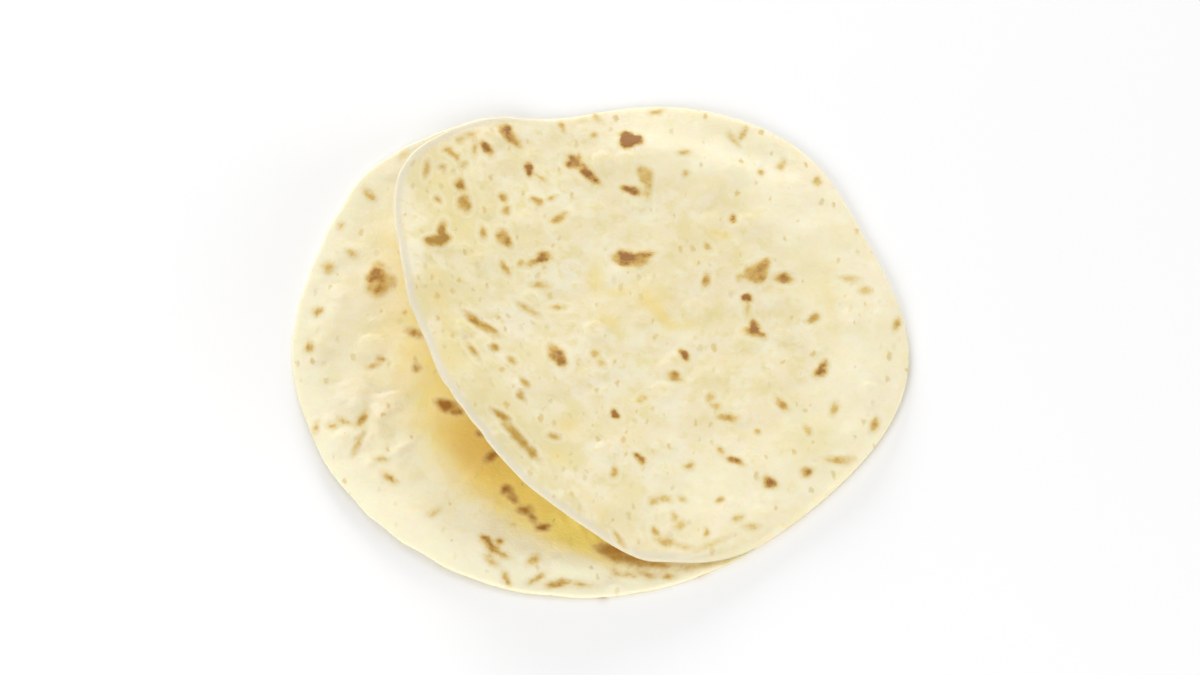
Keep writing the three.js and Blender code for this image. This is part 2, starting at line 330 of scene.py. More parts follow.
# Browned spots by pixel, and a few rows of painted shade in the crevice under the flap's edge: x, y, length,
# width, turn (anticlockwise) and how dark, from 0 to 1.
browningAndShade = {
    "top": [
        (442, 232, 18, 10, 82, 0.95), (433, 242, 17, 10, 8, 0.95), (441, 240, 17, 14, 0, 0.9),
        (452, 153, 14, 6, -40, 0.38), (447, 149, 8, 5, 0, 0.35), (464, 164, 9, 6, 60, 0.5),
        (470, 134, 13, 5, 20, 0.35), (532, 451, 13, 9, -60, 0.75), (442, 166, 7, 5, 0, 0.4),
        (505, 130, 18, 12, -48, 0.7), (511, 137, 26, 12, -50, 0.55), (528, 168, 15, 10, -60, 0.85),
        (539, 176, 13, 4, -37, 0.45), (487, 149, 16, 10, -55, 0.75), (474, 150, 15, 5, 85, 0.45),
        (457, 157, 7, 6, -60, 0.6), (460, 139, 8, 7, 0, 0.35), (426, 169, 13, 6, 85, 0.45),
        (460, 185, 16, 9, -55, 0.72), (464, 203, 17, 14, 80, 0.6), (438, 199, 8, 6, -60, 0.45),
        (503, 197, 10, 8, -45, 0.55), (506, 210, 10, 9, 0, 0.6), (537, 200, 12, 9, -15, 0.65),
        (551, 198, 9, 6, 15, 0.6), (483, 233, 13, 7, -75, 0.5), (504, 238, 19, 14, -70, 0.6),
        (543, 257, 20, 11, 12, 0.72), (534, 262, 16, 9, 25, 0.6), (521, 263, 8, 7, 0, 0.45),
        (505, 268, 15, 6, -65, 0.6), (559, 218, 18, 9, 35, 0.6), (628, 140, 21, 17, -10, 0.95),
        (636, 141, 16, 12, 0, 0.95), (588, 173, 33, 10, -46, 0.75), (574, 162, 21, 13, -35, 0.68),
        (578, 157, 9, 7, 60, 0.65), (632, 190, 20, 11, -12, 0.85), (645, 174, 18, 16, -30, 0.45),
        (648, 186, 20, 10, 80, 0.4), (684, 152, 11, 6, 8, 0.7), (686, 173, 7, 7, 0, 0.55),
        (562, 126, 11, 6, -60, 0.55), (596, 116, 13, 5, -45, 0.4), (594, 134, 7, 6, 0, 0.6),
        (657, 111, 13, 6, 5, 0.3), (733, 218, 10, 10, 0, 0.9), (624, 258, 26, 17, -4, 0.74),
        (638, 259, 27, 14, 10, 0.62), (650, 255, 12, 5, 14, 0.6), (627, 256, 14, 8, 0, 0.95),
        (706, 280, 15, 8, 75, 0.65), (708, 247, 9, 5, -45, 0.6), (744, 132, 12, 6, 60, 0.6),
        (734, 138, 14, 5, -50, 0.3), (782, 163, 11, 8, 60, 0.4), (762, 172, 7, 7, 0, 0.55),
        (818, 180, 9, 8, -30, 0.4), (764, 265, 15, 12, 50, 0.62), (757, 273, 27, 21, 60, 0.5),
        (740, 278, 8, 8, 0, 0.3), (784, 278, 20, 11, 5, 0.65), (747, 298, 11, 10, 0, 0.8),
        (748, 309, 14, 5, 88, 0.4), (754, 333, 21, 12, -8, 0.75), (754, 327, 15, 12, 85, 0.7),
        (814, 318, 13, 9, 18, 0.6), (821, 369, 19, 12, 38, 0.8), (782, 405, 20, 8, -42, 0.7),
        (834, 408, 13, 7, 70, 0.5), (807, 429, 11, 8, -60, 0.45), (874, 425, 14, 9, 60, 0.5),
        (837, 460, 27, 7, 0, 0.62), (806, 472, 14, 10, 15, 0.75), (769, 482, 16, 10, -10, 0.8),
        (734, 460, 17, 8, -22, 0.85), (720, 450, 8, 6, -40, 0.45), (757, 431, 7, 7, 0, 0.5),
        (728, 417, 19, 9, -8, 0.5), (710, 398, 9, 8, 60, 0.45), (715, 406, 10, 7, 0, 0.4),
        (684, 355, 13, 9, -45, 0.85), (675, 377, 17, 9, -8, 0.6), (615, 414, 11, 9, -50, 0.8),
        (642, 398, 10, 8, 15, 0.35), (556, 353, 19, 14, -20, 0.7), (560, 359, 18, 12, -62, 0.75),
        (595, 354, 10, 8, -50, 0.5), (601, 362, 10, 6, -60, 0.35), (558, 307, 14, 6, 0, 0.5),
        (640, 458, 13, 10, -40, 0.75), (614, 472, 10, 8, 85, 0.5), (689, 465, 9, 7, 0, 0.4),
        (663, 498, 15, 6, -15, 0.5), (653, 501, 10, 6, 15, 0.35), (682, 498, 9, 6, -20, 0.35),
        (674, 517, 10, 6, -70, 0.4), (679, 525, 12, 7, 30, 0.35), (655, 531, 10, 7, -40, 0.45),
        (665, 541, 17, 9, -15, 0.55), (682, 545, 18, 5, -10, 0.28), (712, 543, 25, 4, 22, 0.32),
        (706, 532, 8, 6, -70, 0.5), (720, 500, 8, 6, 0, 0.5), (737, 518, 11, 6, 30, 0.35),
        (751, 526, 13, 6, 5, 0.3), (619, 538, 15, 5, -52, 0.5), (482, 325, 33, 9, -34, 0.65),
        (475, 322, 15, 9, -45, 0.72), (473, 351, 15, 5, -55, 0.6), (495, 348, 9, 7, -30, 0.55),
        (512, 360, 9, 6, -40, 0.45), (525, 382, 9, 6, -50, 0.5), (521, 395, 9, 7, -45, 0.45),
        (528, 310, 20, 6, -32, 0.5), (540, 285, 15, 6, -2, 0.45), (502, 416, 17, 8, -32, 0.62),
        (519, 438, 46, 9, -50, 0.68), (554, 436, 10, 6, -20, 0.6), (897, 324, 12, 8, 80, 0.45),
        (866, 290, 12, 8, -20, 0.3), (849, 278, 15, 6, -5, 0.22),
    ],
    "lower": [
        (374, 276, 17, 12, 30, 0.7), (380, 285, 22, 7, 75, 0.66), (369, 290, 8, 5, -30, 0.5),
        (377, 281, 32, 23, 75, 0.36), (391, 281, 12, 9, 80, 0.24), (318, 312, 11, 9, 60, 0.65),
        (309, 347, 12, 8, 85, 0.7), (351, 254, 10, 7, -40, 0.55), (328, 268, 13, 10, -50, 0.3),
        (340, 226, 8, 6, 70, 0.5), (369, 195, 15, 7, -50, 0.45), (403, 154, 9, 5, 45, 0.4),
        (381, 359, 8, 7, 0, 0.75), (373, 366, 11, 6, 20, 0.55), (417, 368, 8, 7, 0, 0.5),
        (415, 333, 17, 8, -20, 0.7), (446, 405, 21, 12, -24, 0.9), (456, 410, 13, 9, -24, 0.9),
        (480, 434, 7, 5, 0, 0.6), (492, 456, 14, 7, 30, 0.8), (507, 489, 11, 10, -30, 0.75),
        (513, 497, 12, 7, -40, 0.6), (525, 509, 14, 7, -5, 0.8), (533, 517, 9, 6, -40, 0.5),
        (543, 527, 12, 8, 0, 0.8), (363, 419, 18, 8, 58, 0.65), (345, 421, 13, 5, -28, 0.5),
        (333, 427, 11, 6, -10, 0.55), (317, 427, 10, 5, 80, 0.4), (358, 445, 20, 6, 65, 0.3),
        (390, 478, 15, 7, -38, 0.7), (382, 459, 10, 5, -5, 0.4), (435, 512, 12, 5, 30, 0.45),
        (486, 541, 14, 9, -50, 0.75), (492, 548, 25, 9, -42, 0.7), (500, 542, 8, 7, 0, 0.55),
        (503, 555, 11, 6, -20, 0.55), (492, 561, 14, 7, -30, 0.4), (534, 560, 13, 9, 40, 0.45),
        (507, 578, 11, 7, -60, 0.65), (536, 578, 15, 6, 28, 0.6), (560, 582, 27, 8, 5, 0.7),
        (580, 583, 22, 5, -2, 0.5), (616, 572, 11, 5, -15, 0.5), (628, 574, 14, 5, -5, 0.5),
        # The last four rows, from (613, 552) on, are painted shade: the dark crevice under the flap's front
        # edge and the narrow gap beside it.
        (647, 574, 15, 6, -12, 0.6), (668, 575, 11, 5, 5, 0.5), (613, 552, 34, 13, -18, 0.5),
        (633, 559, 42, 9, -16, 0.5), (654, 564, 38, 6, -8, 0.6), (708, 563, 60, 5, 8, 0.25),
    ],
    "full": 1.05,  # an outline's distance from the middle, in the ellipse's half-axes
    "wobble": 0.12,  # how uneven their outlines are
    "wobbleThird": 0.7,  # share of the wave with three crests
    "wobbleSeed": 11,
    "farthest": 4,  # millimetres from an outline at which the field ends
    "soft": 1,  # a spot's darkness comes in over this width
    "softOut": 0.7,  # this share of which lies outside its outline
    "hiddenCount": 150,  # spots that the photograph doesn't show, drawn at random, on each face
    "hiddenLengths": (6, 24),
    "hiddenWidths": (0.4, 0.9),  # as shares of the length
    "hiddenDark": (0.3, 0.85),
    "hiddenUnder": 5,  # on the lower layer they end this far inside the flap's edge
    "hiddenOut": 1,  # and their darkness begins this far outside their outlines
    "hiddenSeeds": {"lower": 12, "underside": 13, "ground": 14},
}


# Rows like those above at places drawn evenly over a disc round the origin.
def hiddenSpots(seed):
    draw = np.random.default_rng(seed)
    count = browningAndShade["hiddenCount"]
    reach = outline["radius"] * photo["pixelsPerMm"]
    places = photo["middle"] + place(reach * np.sqrt(draw.uniform(0, 1, count)), draw.uniform(0, 360, count))
    lengths = mix(*browningAndShade["hiddenLengths"], draw.uniform(0, 1, count) ** 2)
    widths = lengths * draw.uniform(*browningAndShade["hiddenWidths"], count)
    turns = draw.uniform(0, 180, count)
    darks = draw.uniform(*browningAndShade["hiddenDark"], count)
    return np.column_stack([places, lengths, widths, turns, darks]).tolist()


# A point's distance from a turned ellipse's middle, in its own half-axes, and its angle round the middle.
def inEllipse(points, x, y, length, width, turn):
    across = points[..., 0] - x
    up = y - points[..., 1]
    c = math.cos(math.radians(turn))
    s = math.sin(math.radians(turn))
    u = (across * c + up * s) / (length / 2)
    v = (up * c - across * s) / (width / 2)
    return np.hypot(u, v), np.arctan2(v, u)


# For each point how many millimetres it lies inside the outline of the spot that it lies deepest in, and the
# darkest of the spots there. A spot is an ellipse whose outline has two sines of the angle round its middle.
def brownField(points, spots):
    draw = np.random.default_rng(browningAndShade["wobbleSeed"])
    best = np.full(points.shape[:-1], -float(browningAndShade["farthest"]))
    depth = np.zeros(points.shape[:-1])
    for x, y, length, width, turn, dark in spots:
        starts = draw.uniform(0, 2 * math.pi, 2)
        distance, angle = inEllipse(points, x, y, length, width, turn)
        waves = np.sin(2 * angle + starts[0]) + browningAndShade["wobbleThird"] * np.sin(3 * angle + starts[1])
        waved = browningAndShade["full"] + browningAndShade["wobble"] * waves
        inside = (waved - distance) * min(length, width) / 2 / photo["pixelsPerMm"]
        depth = np.maximum(depth, dark * smooth(inside / browningAndShade["soft"] + browningAndShade["softOut"]))
        best = np.maximum(best, inside)
    return best, depth


# Forms too low for the solid, by pixel: x, y, length, width, turn and height in millimetres.
lowForms = {
    "top": [
        (768, 158, 130, 26, -26, -0.7), (742, 166, 96, 24, -27, 0.45), (836, 352, 150, 44, 84, -0.6),
        (630, 150, 60, 40, 0, 0.5), (757, 275, 60, 50, 30, 0.5), (585, 165, 50, 28, -55, 0.4),
        (636, 300, 70, 40, -20, 0.5), (560, 356, 40, 30, -30, 0.4), (430, 240, 40, 34, 0, 0.5),
        (500, 240, 60, 44, -60, 0.4), (480, 330, 60, 30, -40, 0.4), (850, 230, 70, 40, -60, 0.4),
        (700, 440, 120, 18, 30, -0.4), (650, 520, 90, 50, -10, 0.5), (520, 440, 60, 20, -53, 0.4),
        (870, 430, 40, 26, 50, 0.5), (600, 230, 90, 16, 50, -0.3),
    ],
    "lower": [
        (356, 395, 42, 32, 20, 1.1), (385, 413, 36, 26, 60, 0.9), (338, 440, 40, 20, -10, 1.0),
        (340, 457, 40, 8, 12, -0.5), (371, 440, 8, 44, 25, -0.6), (378, 391, 36, 7, -35, -0.5),
        (376, 280, 46, 40, 80, 1.1), (351, 252, 24, 18, 0, 0.6), (492, 548, 50, 44, -40, 1.1),
        (420, 520, 60, 34, -35, 0.8), (330, 330, 36, 50, 0, 0.6), (440, 470, 50, 24, -45, 0.7),
        (350, 215, 40, 28, 50, 0.6), (560, 568, 60, 20, 0, 0.7), (400, 350, 24, 40, 10, 0.5),
        (385, 478, 34, 26, -30, 0.8), (345, 300, 34, 26, 40, 0.6), (316, 380, 30, 34, 0, 0.6),
        (343, 436, 22, 13, 10, 0.7), (356, 407, 18, 10, 20, 0.6), (334, 450, 20, 8, 22, 0.6),
        (402, 449, 26, 9, 36, 0.6), (381, 416, 14, 12, 0, 0.6), (387, 391, 26, 6, 13, -0.5),
        (364, 438, 24, 6, 65, -0.6), (330, 418, 20, 10, -30, 0.5), (375, 460, 20, 8, 40, 0.5),
        (350, 470, 24, 10, -40, 0.5), (310, 400, 14, 20, 10, 0.4), (392, 432, 20, 7, -50, -0.4),
        (475, 472, 24, 7, 30, 0.6), (560, 516, 18, 6, -60, 0.5), (578, 522, 18, 5, -65, 0.5),
        (500, 505, 26, 8, -30, 0.4), (455, 440, 20, 7, -50, 0.4), (594, 534, 18, 5, -60, 0.4),
        (450, 560, 50, 20, -25, 0.6), (400, 440, 30, 10, -50, -0.4), (420, 470, 44, 9, -45, -0.4),
    ],
}

# Finer unevenness that is drawn at random, in millimetres.
relief = {
    "rippleCount": 60,
    "rippleLengths": (6, 42),
    "rippleHigh": 0.015,  # for each millimetre of length
    "blisterCount": 320,
    "blisterRadii": (1.5, 6),
    "blisterSlopes": (0.04, 0.13),  # height for each millimetre of radius
    "blisterFull": 1.3,  # above 1 their tops are flat
    "spread": 118,  # blisters are drawn within this distance of the centre
    "rim": 9,  # the relief fades out over this width at an edge
    "brownedAndShade": 0.22,  # how far a browned spot stands out
    "brownedOver": 1.5,  # from its outline inwards
    "hollow": 0.5,  # how deep the blisters' hollow sides are under the flap, as a share
    "dimple": 0.3,  # how far the ground face is lifted where a blister would be
    "seeds": {"top": (3, 4), "lower": (5, 6), "underside": (3, 8)},  # of ripples and of blisters
    "groundSeed": 9,
}


# A sum of sine waves whose directions, lengths and starts are drawn at random.
def ripples(p, seed):
    draw = np.random.default_rng(seed)
    count = relief["rippleCount"]
    shortest, longest = relief["rippleLengths"]
    lengths = shortest * (longest / shortest) ** draw.uniform(0, 1, count)
    starts = draw.uniform(0, 2 * math.pi, count)
    steps = place(2 * math.pi / lengths, draw.uniform(0, 360, count))
    return relief["rippleHigh"] * (lengths * np.sin(p @ steps.T + starts)).sum(-1) / math.sqrt(count)


# A sum of flat domes at drawn places: a smooth step of 1 - r^2, with r the distance in radii.
def blisters(p, seed):
    draw = np.random.default_rng(seed)
    count = relief["blisterCount"]
    places = place(relief["spread"] * np.sqrt(draw.uniform(0, 1, count)), draw.uniform(0, 360, count))
    radii = mix(*relief["blisterRadii"], draw.uniform(0, 1, count) ** 2)
    highs = radii * draw.uniform(*relief["blisterSlopes"], count)
    total = np.zeros(p.shape[:-1])
    for middle, radius, high in zip(places, radii, highs):
        share = ((p - middle) ** 2).sum(-1) / radius**2
        total += high * smooth(relief["blisterFull"] * (1 - share))
    return total


# A sum of turned, stretched bells, by where the photograph shows each point.
def namedForms(points, rows):
    total = np.zeros(points.shape[:-1])
    for *ellipse, high in rows:
        total += high * bell(inEllipse(points, *ellipse)[0])
    return total


# How far a point lies outside the flap's edge, measured from the lower layer's centre.
def pastFlap(p):
    start = outline["notchAngle"]
    angle = (np.degrees(np.arctan2(p[..., 1], p[..., 0])) - start) % 360 + start
    return np.hypot(p[..., 0], p[..., 1]) - flapRadius(angle)


# What the dough's colours follow, as shares between 0 and 1 for each point.
tints = {
    "liftedFrom": 18,  # distance from the flap's line where its colder colour begins: a greener tint of the single sheet, partly painted shade of its slope and of the gap below
    "liftedOver": 50,
    "bandWide": 24,  # the pale band along the fold
    "bandSoft": 14,
    "bandShare": 0.65,
    "cutWide": 1.9,  # the pale line of the flap's cut edge
    "cutSoft": 2,
    "rimWide": 16,  # the pale rim of the lower layer
    "rimLeast": 0.45,  # and how pale the rest of it is
    "pocketOut": 0.56,  # the painted golden glow of light through the flap covers this share of what shows of the lower layer
    "pocketIn": 7,  # and begins this far under the flap's edge
    "pocketAt": (252, 68),  # strongest at this angle, spread
    "pocketLeast": 0.25,
    "lemonAt": (264, 14),  # the painted glow's brightest yellow part
    "lemonOut": 7,  # past the flap's edge
    "ochreAt": (221, 13),  # and its darkest: painted ochre shade under the flap's edge
    "ochreOut": 8,
    "underflapGlow": 0.35,  # how strongly the painted golden glow of light bounced in the pocket tints the flap's underside
    "specks": (0.2, 0.55),  # share of specks on the folded side and on the lifted side
    "specksLower": 0.16,
    "specksHidden": 0.3,
    "buttery": [  # yellower places of the top by pixel: x, y, length, width, turn and share
        (642, 298, 46, 22, -10, 1), (662, 316, 26, 14, -50, 1), (684, 327, 34, 14, 12, 1),
        (610, 321, 24, 18, -20, 0.8), (596, 276, 18, 34, 5, 0.8), (567, 424, 26, 22, -30, 0.8),
        (556, 455, 30, 10, -40, 0.7), (722, 234, 30, 9, -12, 1), (440, 300, 24, 60, 10, 0.6),
        (595, 505, 40, 16, -40, 0.6), (830, 300, 16, 90, 5, 0.4), (612, 300, 22, 18, 0, 1),
    ],
    "floury": [(715, 495, 130, 110, 30, 0.7), (860, 380, 60, 120, 0, 0.2)],  # and paler ones
    "flouryLower": [  # and paler ones of the lower layer
        (350, 465, 110, 50, -45, 0.4), (560, 572, 190, 36, -4, 1), (455, 545, 120, 40, -30, 0.6),
        (345, 330, 50, 80, 10, 0.4), (405, 455, 70, 90, 40, 0.5),
    ],
    "strawy": [  # and duller ones of the top
        (452, 195, 60, 130, 15, 0.9), (470, 330, 40, 60, 30, 0.4), (505, 235, 50, 40, 0, 0.3),
        (450, 360, 36, 50, 20, 0.8), (502, 402, 70, 34, -48, 0.8), (552, 442, 50, 30, -40, 0.8),
        (806, 440, 56, 56, 0, 0.7), (815, 280, 40, 60, 20, 0.4), (700, 560, 60, 20, 10, 0.6),
    ],
}


# The fields that a face doesn't set itself.
def plainFields(at):
    zeros = np.zeros(at["inside"].shape)
    names = ["liftedTintAndShade", "rimBand", "pocketGlow", "lemonGlow", "ochreShade", "cutEdge", "buttery", "floury", "strawy"]
    return {name: zeros for name in names} | {"specks": zeros + tints["specksHidden"]}


# A face's points: the plan's place in the object's own frame, and a height.
def facePoints(at, z):
    plan = at["p"] - outline["boxMiddle"]
    return np.stack([plan[..., 0], plan[..., 1], z], axis=-1)


# Spots that the photograph doesn't show: drawn at random, and laid out as the plan would be seen from above.
def hiddenField(at, face):
    plan = at["p"] - outline["boxMiddle"]
    points = photo["middle"] + photo["pixelsPerMm"] * plan * [1, -1]
    return brownField(points, hiddenSpots(browningAndShade["hiddenSeeds"][face]))


# The low relief of one face: ripples, blisters, the forms that the photograph shows and the browned spots.
def lowRelief(at, points, brownedAndShade, face):
    rippleSeed, blisterSeed = relief["seeds"][face]
    low = ripples(at["p"], rippleSeed) + blisters(at["p"], blisterSeed) + namedForms(points, lowForms[face])
    return low + relief["brownedAndShade"] * smooth(brownedAndShade / relief["brownedOver"])


# Named places of a tint, held between 0 and 1.
def tintPlaces(points, name):
    return np.clip(namedForms(points, tints[name]), 0, 1)


# The upper layer's top: its height and relief, and what its colours follow.
def topFace(at):
    z = topHeight(at)
    points = seen(*np.moveaxis(facePoints(at, z), -1, 0))
    distance = openDistance(at["p"])
    folded = smooth(-distance / fold["puff"]["easing"])
    brownedAndShade, depth = brownField(points, browningAndShade["top"])
    edge = smooth(at["inside"] / relief["rim"])
    cutEdge = (1 - at["fold"]) * (1 - smooth((at["inside"] - tints["cutWide"]) / tints["cutSoft"]))
    band = 1 - smooth((at["inside"] - tints["bandWide"]) / tints["bandSoft"])
    fields = plainFields(at) | {
        "brownedAndShade": brownedAndShade,
        "brownAndShadeDepth": depth,
        # The lifted flap's colder colour, partly painted shade of its slope and of the dark gap below it.
        "liftedTintAndShade": smooth((distance - tints["liftedFrom"]) / tints["liftedOver"]),
        "rimBand": tints["bandShare"] * folded * band,
        "cutEdge": cutEdge,
        "specks": mix(*tints["specks"], smooth(distance / tints["liftedOver"])) * (1 - cutEdge),
        "buttery": tintPlaces(points, "buttery"),
        "floury": tintPlaces(points, "floury"),
        "strawy": tintPlaces(points, "strawy"),
    }
    return facePoints(at, z + edge * lowRelief(at, points, brownedAndShade, "top")), fields


# The lower layer's top, whose spots are drawn at random where the flap hides them. It carries the painted
# golden glow of light through the flap, and painted ochre shade under and just past the flap's edge.
def lowerFace(at):
    z = lowerHeight(at)
    points = seen(*np.moveaxis(facePoints(at, z), -1, 0))
    past = pastFlap(at["p"])
    brownedAndShade, depth = brownField(points, browningAndShade["lower"])
    hidden, hiddenDepth = hiddenField(at, "lower")
    ending = smooth((past + 2 * browningAndShade["hiddenUnder"]) / browningAndShade["hiddenUnder"])
    hidden = hidden - 2 * browningAndShade["farthest"] * ending
    depth = np.maximum(depth, hiddenDepth * smooth(hidden + browningAndShade["hiddenOut"]))
    brownedAndShade = np.maximum(brownedAndShade, hidden)
    # Painted golden glow: from under the flap's edge over a share of what shows of the lower layer, strongest
    # round one angle; its brightest yellow and its ochre shade lie close to the flap's edge.
    shown = rimRadius(at["angle"]) - flapRadius(at["angle"])
    reach = (past + tints["pocketIn"]) / (tints["pocketOut"] * shown + tints["pocketIn"])
    strength = mix(tints["pocketLeast"], 1, hump(at["angle"], *tints["pocketAt"]))
    edge = smooth(at["inside"] / relief["rim"]) * smooth(openDistance(at["p"]) / sway["easing"])
    fields = plainFields(at) | {
        "brownedAndShade": brownedAndShade,
        "brownAndShadeDepth": depth,
        "pocketGlow": strength * (1 - smooth(reach)),
        "lemonGlow": hump(at["angle"], *tints["lemonAt"]) * (1 - smooth(past / tints["lemonOut"])),
        "ochreShade": hump(at["angle"], *tints["ochreAt"]) * (1 - smooth(past / tints["ochreOut"])),
        "rimBand": (1 - at["fold"]) * mix(1, tints["rimLeast"], smooth(at["inside"] / tints["rimWide"])),
        "floury": tintPlaces(points, "flouryLower"),
        "specks": np.full(z.shape, tints["specksLower"]),
    }
    return facePoints(at, z + edge * lowRelief(at, points, brownedAndShade, "lower")), fields


# The flap's underside: the top's own ripples, and the hollow sides of blisters.
def undersideFace(at):
    edge = smooth(at["inside"] / relief["rim"]) * smooth(openDistance(at["p"]) / sway["easing"])
    rippleSeed, blisterSeed = relief["seeds"]["underside"]
    low = ripples(at["p"], rippleSeed) - relief["hollow"] * blisters(at["p"], blisterSeed)
    z = undersideHeight(at) + edge * low
    brownedAndShade, depth = hiddenField(at, "underside")
    fields = plainFields(at) | {"brownedAndShade": brownedAndShade, "brownAndShadeDepth": depth}
    # Painted golden glow on the flap's underside, as light bounced inside the pocket.
    fields["pocketGlow"] = fields["pocketGlow"] + tints["underflapGlow"]
    return facePoints(at, z), fields


# The face on the ground, lifted a little by each blister.
def groundFace(at):
    edge = smooth(at["inside"] / relief["rim"])
    blistered = smooth(blisters(at["p"], relief["groundSeed"]) / relief["dimple"])
    z = groundHeight(at) + edge * relief["dimple"] * blistered
    brownedAndShade, depth = hiddenField(at, "ground")
    return facePoints(at, z), plainFields(at) | {"brownedAndShade": brownedAndShade, "brownAndShadeDepth": depth}


# A grid's squares, each cut into two triangles, with the corners' numbers counted from the first.
def gridTriangles(rows, columns, first, turned):
    number = first + np.arange(rows * columns).reshape(rows, columns)
    a, b = number[:-1, :-1].ravel(), number[1:, :-1].ravel()
    c, d = number[1:, 1:].ravel(), number[:-1, 1:].ravel()
    triangles = np.concatenate([np.stack([a, b, c], 1), np.stack([a, c, d], 1)])
    return triangles if turned else triangles[:, ::-1]


# A square grid whose rings are drawn out into the outline: the ring gives the share, and the place along it
# the angle.
def squareGrid():
    rings = mesh["rings"]
    steps = np.arange(-rings, rings + 1).astype(float)
    i, j = np.meshgrid(steps, steps, indexing="ij")
    ring = np.maximum(abs(i), abs(j))
    wide = abs(i) >= abs(j)
    slant = np.where(wide, j, i) / np.where(wide, np.where(i == 0, 1, i), j + (j == 0))
    sides = np.where(wide, np.where(i < 0, 180, 0) + 45 * slant, np.where(j < 0, 270, 90) - 45 * slant)
    return outline["notchAngle"] + sides % 360, ring / rings


# A fan grid: rays from one angle to another, and rings at the given shares.
def fanGrid(fromAngle, toAngle, shares):
    count = round((toAngle - fromAngle) / 360 * 8 * mesh["rings"])
    return np.meshgrid(np.linspace(fromAngle, toAngle, count + 1), shares, indexing="ij")


# Shares from the hub to the rounded edge, as the square root of even steps, then the rounded edge.
def ringShares(rings):
    edge = 1 + np.arange(1, mesh["edgeRings"] + 1) / mesh["edgeRings"]
    return np.concatenate([np.sqrt(np.arange(rings + 1) / rings), edge])


# All faces are worked out, then points that agree are made one and triangles shrunk to a line are dropped.
def sewnTortilla():
    start, end = outline["notchAngle"], outline["cornerAngle"]
    edgeOnly = 1 + np.arange(mesh["edgeRings"] + 1) / mesh["edgeRings"]
    faces = [
        (squareGrid(), topRadius, topFace, True),
        (fanGrid(start, start + 360, edgeOnly), topRadius, topFace, False),
        (fanGrid(start, start + 360, ringShares(mesh["groundRings"])), rimRadius, groundFace, True),
        (fanGrid(start, end, ringShares(mesh["innerRings"])), rimRadius, lowerFace, False),
        (fanGrid(start, end, ringShares(mesh["innerRings"])), flapRadius, undersideFace, True),
    ]
    points, triangles, fields = [], [], []
    first = 0
    for (angle, share), radiusAt, face, turned in faces:
        facePlaces, values = face(onRays(angle, share, radiusAt))
        points.append(facePlaces.reshape(-1, 3))
        fields.append(values)
        triangles.append(gridTriangles(*angle.shape, first, turned))
        first += angle.size
    points = np.concatenate(points)
    triangles = np.concatenate(triangles)
    values = {name: np.concatenate([face[name].ravel() for face in fields]) for name in fields[0]}
    keys = np.round(points / mesh["sewing"]).astype(np.int64)
    _, kept, number = np.unique(keys, axis=0, return_index=True, return_inverse=True)
    triangles = number.ravel()[triangles]
    a, b, c = triangles.T
    triangles = triangles[(a != b) & (b != c) & (c != a)]
    return points[kept], triangles, {name: value[kept] for name, value in values.items()}


# A new object in the scene.
def addObject(name, data):
    added = bpy.data.objects.new(name, data)
    bpy.context.scene.collection.objects.link(added)
    return added


# Puts points in millimetres, triangles and one number for each point and field into a mesh object.
def meshObject(name, points, triangles, fields):
    data = bpy.data.meshes.new(name)
    data.vertices.add(len(points))
    data.vertices.foreach_set("co", (points * mm).astype(np.float32).ravel())
    data.loops.add(triangles.size)
    data.loops.foreach_set("vertex_index", triangles.astype(np.int32).ravel())
    data.polygons.add(len(triangles))
    data.polygons.foreach_set("loop_start", np.arange(0, triangles.size, 3, dtype=np.int32))
    data.update(calc_edges=True)
    data.validate()
    data.shade_smooth()
    for label, values in fields.items():
        layer = data.attributes.new(label, "FLOAT", "POINT")
        layer.data.foreach_set("value", values.astype(np.float32))
    return addObject(name, data)


points, triangles, fields = sewnTortilla()
a, b, c = points[triangles].transpose(1, 0, 2)
volume = np.einsum("ij,ij->i", a, np.cross(b, c)).sum() / 6
edges = np.sort(np.concatenate([triangles[:, [0, 1]], triangles[:, [1, 2]], triangles[:, [2, 0]]]), axis=1)
_, uses = np.unique(edges, axis=0, return_counts=True)
print("tortilla:", len(triangles), "triangles,", round(volume / 1000, 1), "cubic centimetres,",
      int((uses != 2).sum()), "open edges")
tortilla = meshObject("tortillaDough", points, triangles, fields)

